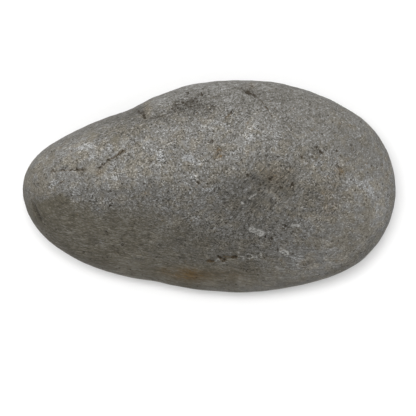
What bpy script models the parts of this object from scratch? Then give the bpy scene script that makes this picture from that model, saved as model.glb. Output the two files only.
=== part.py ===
"""A river pebble: one piece of grey, fine-grained sandstone, worn smooth.

It lies on its flattest side. Seen from above it is an egg with a waist: a narrow end at -X,
a blunt end at +X. The crown has a soft ridge along the stone, with a gentle face north of it
(+Y) and steeper worn flats south of it (-Y).

The stone is made in the order that a river makes it: a rounded blank, worn flats, edges rounded
by tumbling, then lumps and hollows. Last it gets the flat that it rests on.
Lengths are in metres, +Z is up, and the origin is on the table under the middle of the stone.
"""

import math

import bmesh
import bpy
import numpy as np
from mathutils import Vector, noise

MM = 0.001

# Driving dimensions, as the stone lies
LENGTH = 90.0 * MM
WIDTH = 51.2 * MM
THICKNESS = 33.0 * MM

# The widest ring of the stone, its girdle: seen from above, in mm, from the blunt end round by +Y
OUTLINE_MM = (
    (45.0, 0.0),
    (42.3, 8.6),
    (35.0, 16.7),
    (25.3, 22.3),
    (16.1, 25.1),
    (8.0, 25.6),
    (-3.7, 24.8),
    (-13.8, 21.5),
    (-19.1, 18.8),
    (-24.9, 16.9),
    (-35.8, 11.7),
    (-42.0, 7.0),
    (-44.9, 0.0),
    (-42.6, -8.8),
    (-34.0, -16.2),
    (-24.0, -20.7),
    (-14.5, -22.7),
    (-4.0, -24.6),
    (7.9, -25.6),
    (20.0, -24.3),
    (31.1, -21.0),
    (39.2, -14.9),
    (43.9, -6.9),
)
GIRDLE_HEIGHT = 0.42 * THICKNESS  # above the table, at the middle
GIRDLE_TILT = 0.085  # rise of the girdle per metre towards +Y
GIRDLE_SAG = 0.05  # how much lower it is at the narrow end, per metre

# The blank's crown and belly: 1 is a round section, less is a squarer one
CROWN_SQUARENESS = 0.86
BELLY_SQUARENESS = 0.82
BELLY_UNDER = 0.9 * MM  # how far the blank's belly reaches under the table
CROWN_TOP = Vector((5.0, 3.0)) * MM  # the highest point's place in plan

# Worn flats: a point on the flat, in mm, the way it faces (azimuth from +X, elevation, in
# degrees) and how widely it rounds into what is next to it, in mm
WORN_FLATS = (
    ("south-west flank", (-27.0, -11.0, 19.6), (-99, 48), 0.8),
    ("south flank", (9.0, -8.0, 25.1), (-98, 58), 1.5),
    ("north face", (-12.0, 10.0, 27.0), (97, 68), 1.8),
    ("narrow end's back", (-27.0, 2.0, 27.5), (172, 77), 2.5),
    ("blunt end", (34.0, 0.0, 24.8), (-2, 66), 3.0),
    ("north-west rim", (-29.0, 13.5, 19.0), (118, 30), 1.5),
    ("underside, narrow end", (-28.0, 0.0, 3.0), (185, -76), 2.5),
    ("underside, blunt end", (37.0, 0.0, 3.0), (-10, -64), 3.0),
)

# Hollows pressed into the crown, and swells, which are less than nothing deep: the middle in
# plan and the two radii, in mm, the turn of the first radius from +X in degrees, and the depth
HOLLOWS = (
    ("dish south of the ridge", (12.0, -1.5), (9.0, 6.0), 5, 1.9),
    ("swell on the south flank", (-5.0, -7.5), (5.0, 6.0), 0, -0.4),
    ("trough by the north rim", (-5.5, 20.0), (7.0, 2.6), 18, 1.0),
    ("notch at the waist", (-17.0, 17.8), (3.0, 1.8), -40, 0.6),
    ("pit near the north rim", (9.5, 22.8), (3.5, 1.8), -55, 0.5),
)

TUMBLING = 14  # rounds of smoothing, which wear the edges between the flats
CROWN_WEAR = 0.08  # how far each round moves a point towards its neighbours' middle
RIM_WEAR = 0.6  # the same at the girdle, which rubs most

LUMP_SIZE = 15.0 * MM
LUMP_HEIGHT = 0.35 * MM
LUMP_SEED = Vector((3.1, 7.4, 1.9))

FACES_PER_SIDE = 26  # along each side of the cube that becomes the ball

STONE_COLOUR = (0.165, 0.157, 0.138, 1.0)
STONE_ROUGHNESS = 0.85


def clear_scene():
    for thing in list(bpy.data.objects):
        bpy.data.objects.remove(thing, do_unlink=True)


def ball_mesh():
    """A unit ball of even square faces, from a subdivided cube."""
    ball = bmesh.new()
    bmesh.ops.create_cube(ball, size=2.0)
    bmesh.ops.subdivide_edges(ball, edges=ball.edges[:], cuts=FACES_PER_SIDE - 1, use_grid_fill=True)
    for vert in ball.verts:
        vert.co = Vector([math.tan(side * math.pi / 4) for side in vert.co]).normalized()
    return ball


def girdle_factor(turns):
    """How far the girdle stands out past the plain ellipse at each turn, by a cubic curve
    through the outline's points."""
    points = np.array(OUTLINE_MM) * MM / (LENGTH / 2, WIDTH / 2)
    at = np.arctan2(points[:, 1], points[:, 0]) % (2 * math.pi)
    factor = np.hypot(points[:, 0], points[:, 1])
    order = np.argsort(at)
    at = np.concatenate([at[order] - 2 * math.pi, at[order], at[order] + 2 * math.pi])
    factor = np.tile(factor[order], 3)
    slope = np.gradient(factor, at)
    turns = turns % (2 * math.pi)
    after = np.searchsorted(at, turns, side="right")
    before = after - 1
    span = at[after] - at[before]
    s = (turns - at[before]) / span
    return (
        (2 * s**3 - 3 * s**2 + 1) * factor[before]
        + (s**3 - 2 * s**2 + s) * span * slope[before]
        + (3 * s**2 - 2 * s**3) * factor[after]
        + (s**3 - s**2) * span * slope[after]
    )


def blank(directions):
    """The ball's directions made into the rounded stone before its wear."""
    turns = np.arctan2(directions[:, 1], directions[:, 0])
    level = np.hypot(directions[:, 0], directions[:, 1])
    rise = directions[:, 2]
    above = rise > 0
    squareness = np.where(above, CROWN_SQUARENESS, BELLY_SQUARENESS)
    reach = level**squareness * girdle_factor(turns)
    x = reach * np.cos(turns) * LENGTH / 2
    y = reach * np.sin(turns) * WIDTH / 2
    lift = np.abs(rise) ** squareness
    lean = np.where(above, lift, 0) ** 2
    x = x + lean * CROWN_TOP.x
    y = y + lean * CROWN_TOP.y
    girdle = GIRDLE_HEIGHT + GIRDLE_TILT * y + GIRDLE_SAG * np.minimum(x, 0)
    z = girdle + lift * (np.where(above, THICKNESS, -BELLY_UNDER) - girdle)
    return np.column_stack([x, y, z])


def wear_flat(points, middle_mm, faces_way, rounding_mm):
    """Points that stand past the flat go back to it, softly near its edge."""
    azimuth, elevation = (math.radians(angle) for angle in faces_way)
    level = math.cos(elevation)
    outward = np.array([math.cos(azimuth) * level, math.sin(azimuth) * level, math.sin(elevation)])
    rounding = rounding_mm * MM
    past = (points - np.array(middle_mm) * MM) @ outward
    worn = rounding * np.logaddexp(0, past / rounding)
    return points - np.outer(worn, outward)


def press_hollow(points, normals, middle_mm, radii_mm, turn, depth_mm):
    """A soft dent in the crown, pressed in along the surface's own normals."""
    away = points[:, :2] - np.array(middle_mm) * MM
    angle = math.radians(turn)
    along = (away @ (math.cos(angle), math.sin(angle))) / (radii_mm[0] * MM)
    across = (away @ (-math.sin(angle), math.cos(angle))) / (radii_mm[1] * MM)
    depth = depth_mm * MM * np.exp(-(along**2) - across**2)
    on_crown = np.clip(normals[:, 2] * 3, 0, 1)
    return points - normals * (depth * on_crown)[:, None]


def lumps(points, normals):
    """Broad, low unevenness. It fades at the girdle, which the outline already gives."""
    height = [noise.noise(Vector(point) / LUMP_SIZE + LUMP_SEED) for point in points]
    height = np.array(height) * LUMP_HEIGHT * np.abs(normals[:, 2])
    return points + normals * height[:, None]


def tumble(mesh, points):
    """Wears what stands out: the rim a good deal, the crown and the belly a little."""
    around = [[edge.other_vert(vert).index for edge in vert.link_edges] for vert in mesh.verts]
    flatness = normals_of(mesh)[:, 2] ** 2
    wear = (RIM_WEAR + (CROWN_WEAR - RIM_WEAR) * flatness)[:, None]
    for _round in range(TUMBLING):
        middles = np.array([points[near].mean(axis=0) for near in around])
        points = points + (middles - points) * wear
    return points


def points_of(mesh):
    return np.array([vert.co for vert in mesh.verts])


def normals_of(mesh):
    mesh.normal_update()
    return np.array([vert.normal for vert in mesh.verts])


def move_points(mesh, points):
    for vert, point in zip(mesh.verts, points):
        vert.co = point


def set_down(points):
    """Brings the stone to its exact size, on the table. What was lower is worn to one flat."""
    low, high = points.min(axis=0), points.max(axis=0)
    centre = (low + high) / 2
    points = points - (centre[0], centre[1], 0)
    points[:, 0] *= LENGTH / (high[0] - low[0])
    points[:, 1] *= WIDTH / (high[1] - low[1])
    points[:, 2] = np.maximum(points[:, 2], 0)
    points[:, 2] *= THICKNESS / points[:, 2].max()
    return points


def stone_material():
    material = bpy.data.materials.new("grey_sandstone")
    material.use_nodes = True
    finish = material.node_tree.nodes["Principled BSDF"]
    finish.inputs["Base Color"].default_value = STONE_COLOUR
    finish.inputs["Roughness"].default_value = STONE_ROUGHNESS
    finish.inputs["Metallic"].default_value = 0.0
    return material


def pebble():
    stone = ball_mesh()
    points = blank(points_of(stone))
    for _name, middle, faces_way, rounding in WORN_FLATS:
        points = wear_flat(points, middle, faces_way, rounding)
    move_points(stone, points)
    points = tumble(stone, points)
    move_points(stone, points)
    for _name, middle, radii, turn, depth in HOLLOWS:
        points = press_hollow(points, normals_of(stone), middle, radii, turn, depth)
        move_points(stone, points)
    points = lumps(points, normals_of(stone))
    move_points(stone, set_down(points))
    mesh = bpy.data.meshes.new("pebble")
    stone.to_mesh(mesh)
    stone.free()
    mesh.shade_smooth()
    mesh.materials.append(stone_material())
    return bpy.data.objects.new("pebble", mesh)


def main():
    clear_scene()
    collection = bpy.data.collections.new("river_pebble")
    bpy.context.scene.collection.children.link(collection)
    collection.objects.link(pebble())


if __name__ == "__main__":
    main()
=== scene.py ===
"""A river pebble of grey, fine-grained sandstone, lying on a pale table.

Its skin is one closed mesh. It starts as a cube, becomes a ball of even faces, is wrapped onto
the CAD stone, and then gets the swells, grain, cracks and pits that the CAD stone leaves out.
Lengths are in metres, and a value whose name ends in _MM is in millimetres. Marks are placed in
plan, in millimetres, where the picture shows them.
"""

import math

import bpy
import numpy as np
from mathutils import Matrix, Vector, noise


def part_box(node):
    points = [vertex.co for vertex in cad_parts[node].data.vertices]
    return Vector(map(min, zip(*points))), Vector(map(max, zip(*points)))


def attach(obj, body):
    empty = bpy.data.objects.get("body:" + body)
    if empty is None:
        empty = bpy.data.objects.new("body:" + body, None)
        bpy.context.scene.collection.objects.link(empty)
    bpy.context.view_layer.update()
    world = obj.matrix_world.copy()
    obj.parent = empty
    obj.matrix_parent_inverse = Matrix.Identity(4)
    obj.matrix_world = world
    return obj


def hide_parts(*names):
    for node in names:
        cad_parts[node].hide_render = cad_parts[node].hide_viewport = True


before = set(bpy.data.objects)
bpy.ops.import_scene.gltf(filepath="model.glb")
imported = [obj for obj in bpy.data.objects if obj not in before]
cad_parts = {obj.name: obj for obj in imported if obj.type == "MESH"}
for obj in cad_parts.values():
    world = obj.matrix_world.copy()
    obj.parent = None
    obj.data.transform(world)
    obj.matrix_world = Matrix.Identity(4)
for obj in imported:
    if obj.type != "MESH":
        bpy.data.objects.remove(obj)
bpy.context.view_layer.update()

MM = 0.001

# The picture is a square, and the stone's middle isn't quite its middle
PICTURE_SIDE_PX = 416
STONE_MIDDLE_PX = (208.9, 186.8)
PIXELS_PER_MM = 4.134
GIRDLE_HEIGHT = 13.5 * MM
LENS = 150
SENSOR = 36
CAMERA_AWAY = PICTURE_SIDE_PX / PIXELS_PER_MM * MM * LENS / SENSOR
CAMERA_AT = Vector((
    (PICTURE_SIDE_PX / 2 - STONE_MIDDLE_PX[0]) / PIXELS_PER_MM * MM,
    (STONE_MIDDLE_PX[1] - PICTURE_SIDE_PX / 2) / PIXELS_PER_MM * MM,
    GIRDLE_HEIGHT + CAMERA_AWAY,
))
MARKS_FROM_PX = (209.5, 187.0)  # marks are counted from this point of the picture, +Y up
MARKS_PX_PER_MM = 4.144

# The smoothed CAD stone that the skin is wrapped onto
GUIDE_MERGED_MM = 0.01
GUIDE_REFINED = 2

# The skin's faces: cells of the first ball along X, Y and Z, then rounds of refining
BALL_CELLS = (9, 5, 3)
REFINED = 4
CROWN_FACES_UP = 0.6  # faces that look up more than this get a round more

# Low swells and flats of the rim: the turn off +X in degrees, how far out in mm, and the spread
# in degrees
RIM_SWELLS = (
    (0, -0.14, 7),
    (20, 0.58, 9),
    (45, -0.3, 12),
    (67, -0.24, 10),
    (138, -0.34, 10),
    (168, 0.44, 10),
    (190, -0.3, 8),
    (222, 0.14, 8),
    (240, -0.22, 8),
    (263, 0.28, 11),
    (282, 0.16, 10),
    (313, -0.44, 12),
)
RIM_STARTS = 0.6  # how level a direction is where the rim starts: 1 is at the girdle

# Relief all over the stone: its size, its detail, its height in mm, and the weights it goes by
RELIEF = (
    ("swells", 6.0, 1, 0.28, "free"),
    ("knobs", 2.2, 1, 0.13, "rough"),
    ("grain", 0.75, 2, 0.07, "rough"),
)
WORN_SKIN_LOSES = 0.55  # of the knobs and the grain
TABLE_CLEAR_MM = 0.15  # lower than this the stone has no relief, and rests flat
TABLE_FADE_MM = 0.6  # and over this height the relief grows to its full
LEAST_WEIGHT = 0.002

# Cracks and scratches: the points they run through, half their width and their depth in mm, then
# how much dirt with painted shade, rust and bruise they hold
STROKES = (
    ("brown start of the crown's crack", ((-27.4, 2.9), (-26.7, 3.6), (-26.4, 4.6)),
     0.5, 0.1, 0.3, 0.35, 0),
    ("crown's crack, first knots", ((-26.9, 4.2), (-26.1, 4.9), (-25.5, 5.7)),
     0.28, 0.26, 1.0, 0.35, 0),
    ("crown's crack, thin part", ((-25.7, 5.4), (-25.0, 6.0), (-24.5, 6.5)),
     0.18, 0.18, 0.8, 0.3, 0),
    ("crown's crack, deep knot", ((-25.0, 6.1), (-24.4, 6.6), (-23.5, 6.8)),
     0.38, 0.3, 1.4, 0, 0),
    ("crown's crack, middle", ((-24.2, 6.7), (-23.2, 7.1), (-22.2, 7.8)),
     0.26, 0.24, 1.0, 0.5, 0),
    ("crown's crack, east end", ((-22.9, 7.3), (-21.8, 8.1), (-21.1, 8.7), (-20.0, 9.0)),
     0.3, 0.22, 0.95, 0.55, 0),
    ("crack at the narrow end, faint start",
     ((-38.8, 3.2), (-37.9, 3.9), (-36.6, 3.8), (-35.6, 3.9)), 0.24, 0.12, 0.62, 0.22, 0),
    ("crack at the narrow end, thin part",
     ((-36.4, 3.8), (-35.0, 4.05), (-33.4, 4.1), (-32.6, 4.2)), 0.22, 0.18, 0.95, 0.35, 0),
    ("crack at the narrow end, dark end",
     ((-33.4, 4.1), (-32.0, 4.25), (-30.8, 4.2), (-29.5, 4.0)), 0.25, 0.21, 1.0, 0.2, 0),
    ("notch at the waist",
     ((-17.8, 18.7), (-16.9, 18.2), (-16.1, 17.8), (-15.8, 17.1), (-15.3, 16.2)),
     0.36, 0.34, 1.1, 0.1, 0),
    ("seam from the waist",
     ((-15.3, 16.5), (-12.8, 16.8), (-11.4, 17.2), (-10.0, 17.8), (-8.6, 18.4)),
     0.2, 0.14, 0.7, 0, 0),
    ("seam in the trough",
     ((-9.4, 18.7), (-8.4, 19.5), (-7.0, 20.2), (-5.2, 21.1), (-3.3, 21.5), (-1.7, 22.4)),
     0.24, 0.22, 0.6, 0, 0),
    ("scratch north of the ridge", ((-0.4, 19.0), (0.8, 19.5), (1.8, 20.0)), 0.18, 0, 0, 0, 0.75),
    ("tan line", ((3.5, 16.4), (4.1, 16.9), (4.8, 17.6), (5.8, 17.9)), 0.2, 0.12, 0.6, 0.5, 0),
    ("crack by the north rim, smudged start",
     ((8.6, 23.1), (9.6, 22.9), (10.8, 22.2), (12.0, 21.3)), 0.3, 0.2, 0.62, 0.1, 0),
    ("crack by the north rim, thin part", ((11.4, 21.7), (12.4, 20.8), (13.4, 19.5)),
     0.13, 0.12, 0.25, 0.2, 0),
    ("crack by the north rim, brown end",
     ((12.9, 20.0), (13.7, 19.1), (14.5, 18.2), (15.1, 17.3), (15.4, 16.4)),
     0.17, 0.16, 0.66, 0.35, 0),
    ("groove on the west rim",
     ((-43.0, -3.0), (-42.5, -4.4), (-41.9, -5.8), (-41.2, -7.2), (-40.2, -8.9)),
     0.42, 0.34, 0.85, 0, 0),
    ("rusty crack, west end", ((-0.9, -18.0), (0.2, -17.9), (1.5, -18.1)),
     0.32, 0.2, 0.6, 1.0, 0),
    ("rusty crack, first knot", ((1.8, -16.5), (2.4, -17.0), (3.0, -17.6)),
     0.36, 0.26, 1.1, 0.9, 0),
    ("rusty crack, deep knot", ((2.8, -17.9), (3.4, -17.8), (4.2, -17.4)),
     0.36, 0.28, 1.2, 0.7, 0),
    ("rusty crack, thin part", ((2.9, -16.8), (4.0, -16.9), (5.4, -17.0)),
     0.22, 0.14, 0.25, 0.8, 0),
    ("rusty crack, east knot", ((5.0, -17.0), (5.9, -17.0), (6.9, -16.9)),
     0.36, 0.26, 1.15, 0.9, 0),
    ("pale lip of the rusty crack", ((1.1, -18.1), (2.0, -17.4), (2.7, -17.9)),
     0.14, 0, 0, 0, 0.5),
    ("pale thread", ((6.7, -16.6), (7.6, -16.7), (8.6, -16.7)), 0.11, 0, 0, 0, 0.5),
    ("pale loop",
     ((8.3, -16.6), (9.3, -16.2), (10.2, -16.4), (10.6, -16.9), (10.0, -17.3), (8.9, -17.3)),
     0.17, 0, 0, 0, 0.75),
    ("pale fleck", ((11.3, -16.5), (11.5, -17.9)), 0.18, 0, 0, 0, 0.6),
    ("pale end of the rusty crack", ((12.4, -15.6), (12.5, -16.4), (12.6, -17.3)),
     0.22, 0, 0, 0, 0.65),
    ("bruise on the south flank",
     ((9.0, -10.3), (10.4, -10.2), (11.6, -10.8), (12.9, -11.2), (13.8, -11.4)),
     0.68, 0, 0, 0, 0.74),
    ("bruise by the south rim", ((16.6, -14.7), (17.4, -15.3), (18.3, -15.7), (19.4, -16.2)),
     0.52, 0, 0, 0, 0.9),
    ("small bruise", ((19.4, -9.4), (20.7, -9.3), (22.1, -9.4)), 0.38, 0, 0, 0, 0.7),
    ("pink lens", ((9.2, -3.0), (10.3, -2.2), (11.5, -1.4)), 0.2, 0, 0, 0.1, 0.7),
    ("pale line on the crown", ((-11.6, 9.8), (-9.8, 10.3), (-7.4, 11.2)), 0.14, 0, 0, 0, 0.45),
    ("pale line north of the ridge", ((-2.6, 14.6), (-0.8, 14.7), (0.6, 14.2), (1.8, 14.1)),
     0.2, 0, 0, 0, 0.5),
    ("pale scratch by the olive spot", ((-21.7, 9.3), (-20.4, 10.5), (-18.9, 12.0)),
     0.13, 0.03, 0, 0, 0.45),
    ("second pale scratch", ((-22.0, 10.2), (-21.0, 11.0), (-19.9, 12.0)), 0.12, 0.03, 0, 0, 0.4),
    ("scratch above the worn skin", ((-22.5, -1.4), (-20.6, -3.4), (-18.3, -6.3)),
     0.1, 0.03, 0, 0, 0.35),
    ("second scratch", ((-23.9, -1.9), (-22.1, -3.7), (-20.4, -5.8)), 0.1, 0.03, 0, 0, 0.3),
    ("third scratch", ((-20.9, -1.1), (-19.0, -3.0), (-17.4, -5.0)), 0.1, 0.03, 0, 0, 0.3),
)
STROKE_HOLDS = ("line_dirt_and_shade", "line_rust", "line_bruise")
LINE_REACH_MM = 0.9  # further from a stroke than this there is none of it
LINE_SPREAD_MM = 0.12  # a stroke's groove is this much wider than its stain
ENDS_IN_STROKE = 6  # a stroke tapers over its length divided by this, at each end

# Pits and specks: the place, the radius and the depth in mm, then dirt with painted shade, rust and
# bruise
PITS = (
    ((-33.4, 8.65), 0.42, 0.1, 0.4, 0.42, 0),
    ((-29.4, 8.0), 0.36, 0.12, 0.7, 0, 0),
    ((-35.8, 1.15), 0.45, 0.12, 0.6, 0.48, 0),
    ((-36.8, 6.9), 0.6, 0.08, 0.35, 0.12, 0),
    ((-28.4, 3.9), 1.0, -0.14, 0, 0.05, 0.25),
    ((-25.6, 5.3), 0.34, 0.16, 0.9, 0.18, 0),
    ((-32.0, 4.25), 0.48, 0.1, 0.8, 0, 0),
    ((-38.0, 4.1), 0.45, 0.06, 0.5, 0.06, 0),
    ((-28.9, -3.4), 0.36, 0.12, 0.7, 0, 0),
    ((-32.9, -2.9), 0.38, 0.1, 0.6, 0, 0),
    ((-31.0, -1.9), 0.36, 0.08, 0.45, 0, 0),
    ((-24.0, -4.55), 0.42, 0.12, 0.75, 0, 0),
    ((-24.5, 4.0), 0.32, 0.08, 0.55, 0, 0),
    ((-23.6, 0.2), 0.5, 0.08, 0.35, 0, 0),
    ((-17.6, 5.4), 0.32, 0.08, 0.5, 0, 0),
    ((-24.9, -10.9), 0.6, 0.12, 0.6, 0, 0),
    ((-21.0, -14.0), 0.75, 0.14, 0.5, 0, 0),
    ((-22.6, -15.8), 1.0, 0.12, 0.4, 0.1, 0),
    ((-30.3, -15.9), 0.5, 0.14, 0.6, 0, 0),
    ((-12.0, -14.3), 0.6, 0.1, 0.5, 0, 0),
    ((-13.5, -3.2), 0.4, 0.08, 0.5, 0, 0),
    ((-8.1, 20.0), 0.3, 0.1, 0.55, 0, 0),
    ((-9.0, 18.9), 0.32, 0.1, 0.6, 0, 0),
    ((-7.6, 19.1), 0.3, 0.08, 0.5, 0, 0),
    ((-6.4, 20.5), 0.3, 0.1, 0.6, 0, 0),
    ((-5.4, 20.8), 0.28, 0.1, 0.6, 0, 0),
    ((-7.0, 19.9), 0.26, 0.08, 0.5, 0, 0),
    ((-5.6, 19.9), 0.26, 0.08, 0.55, 0, 0),
    ((-4.2, 20.6), 0.28, 0.08, 0.55, 0, 0),
    ((-3.0, 20.6), 0.26, 0.08, 0.5, 0, 0),
    ((-4.6, 19.4), 0.32, 0.08, 0.5, 0, 0),
    ((-6.2, 18.3), 0.28, 0.08, 0.4, 0, 0),
    ((-8.3, 18.1), 0.32, 0.08, 0.4, 0, 0),
    ((-5.2, 22.6), 0.4, 0.1, 0.7, 0, 0),
    ((-3.3, 21.5), 0.42, 0.1, 0.55, 0, 0),
    ((-1.8, 22.4), 0.44, 0.12, 0.75, 0, 0),
    ((0.9, 19.5), 0.45, 0.1, 0.6, 0, 0),
    ((-3.5, 8.1), 0.36, 0.08, 0.6, 0, 0),
    ((0.2, 16.9), 0.4, 0.08, 0.5, 0.12, 0),
    ((0.6, 11.0), 0.42, 0.14, 0.85, 0.4, 0),
    ((2.3, 8.9), 0.55, 0.1, 0.4, 0.54, 0),
    ((2.6, 7.4), 0.6, 0.08, 0.1, 0.54, 0),
    ((1.3, 7.0), 0.45, 0.08, 0.2, 0.42, 0),
    ((5.2, 18.0), 0.46, 0.14, 1.05, 0, 0),
    ((4.3, 18.5), 0.34, 0.08, 0.6, 0, 0),
    ((5.1, 10.1), 0.34, 0.08, 0.5, 0, 0),
    ((9.2, 22.9), 0.5, 0.16, 0.6, 0.24, 0),
    ((10.2, 24.4), 0.8, 0.1, 0.4, 0.24, 0),
    ((22.2, 7.2), 0.5, 0.12, 0.6, 0.42, 0),
    ((26.9, 8.3), 0.5, 0.12, 0.65, 0.06, 0),
    ((25.8, 9.5), 0.42, 0.1, 0.55, 0, 0),
    ((27.9, 9.2), 0.5, 0.08, 0.4, 0, 0),
    ((30.8, 8.7), 0.32, 0.1, 0.85, 0.24, 0),
    ((35.0, 8.8), 0.7, 0.1, 0.4, 0.06, 0),
    ((35.8, 7.4), 0.55, 0.08, 0.35, 0, 0),
    ((33.2, 6.5), 0.5, 0.08, 0.3, 0.3, 0),
    ((31.2, 4.9), 0.6, 0.14, 0.6, 0.36, 0),
    ((31.9, 3.8), 0.7, 0.08, 0.1, 0.42, 0),
    ((25.5, 4.1), 0.36, 0.08, 0.5, 0, 0),
    ((19.5, 4.4), 0.5, 0.1, 0.5, 0.36, 0),
    ((20.0, 0.6), 0.5, 0.12, 0.95, 0.2, 0),
    ((19.4, -0.3), 0.5, 0.08, 0.3, 0.42, 0),
    ((23.8, 0.5), 0.34, 0.08, 0.5, 0, 0),
    ((27.4, -1.4), 0.55, 0.1, 0.5, 0.36, 0),
    ((31.3, -4.4), 0.4, 0.1, 0.6, 0, 0),
    ((40.2, -3.7), 0.45, 0.08, 0.4, 0, 0),
    ((43.1, -2.2), 0.6, 0.08, 0.4, 0, 0),
    ((21.2, -3.7), 0.34, 0.08, 0.5, 0, 0),
    ((14.7, 1.8), 0.42, 0.14, 0.9, 0.3, 0),
    ((17.3, -0.2), 0.42, 0.1, 0.75, 0.24, 0),
    ((9.3, 2.7), 0.5, 0.12, 0.75, 0, 0),
    ((12.2, 0.6), 0.36, 0.08, 0.5, 0, 0),
    ((6.6, -4.8), 0.5, 0.08, 0.5, 0, 0),
    ((10.2, -6.1), 0.36, 0.1, 0.65, 0, 0),
    ((-2.8, 1.1), 0.5, 0.1, 0.75, 0.3, 0),
    ((-4.9, 5.1), 0.42, 0.1, 0.7, 0, 0),
    ((8.0, -3.9), 0.34, 0, 0, 0, 1.0),
    ((5.7, 4.7), 0.34, 0, 0, 0, 0.9),
    ((18.4, -9.5), 0.8, 0.14, 0.75, 0, 0),
    ((13.4, -12.0), 0.36, 0.12, 0.85, 0, 0),
    ((12.3, -12.7), 0.36, 0.08, 0.5, 0, 0),
    ((15.0, -12.5), 0.4, 0.1, 0.65, 0, 0),
    ((16.4, -15.0), 0.5, 0.1, 0.6, 0, 0),
    ((12.0, -13.9), 0.36, 0.08, 0.5, 0, 0),
    ((27.4, -10.1), 0.45, 0, 0, 0, 0.4),
    ((8.2, -17.2), 0.34, 0, 0, 0, 0.75),
    ((9.4, -16.9), 0.24, 0.06, 0.6, 0, 0),
    ((7.1, -15.8), 0.28, 0, 0, 0, 0.6),
    ((8.8, -20.0), 0.6, 0.06, 0.45, 0, 0),
    ((11.6, -20.0), 0.5, 0.06, 0.4, 0, 0),
)
PIT_HOLDS = ("dirt_and_shade", "rust", "bruise")
PIT_UNEVEN = 0.35  # how much a pit's radius wavers

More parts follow.
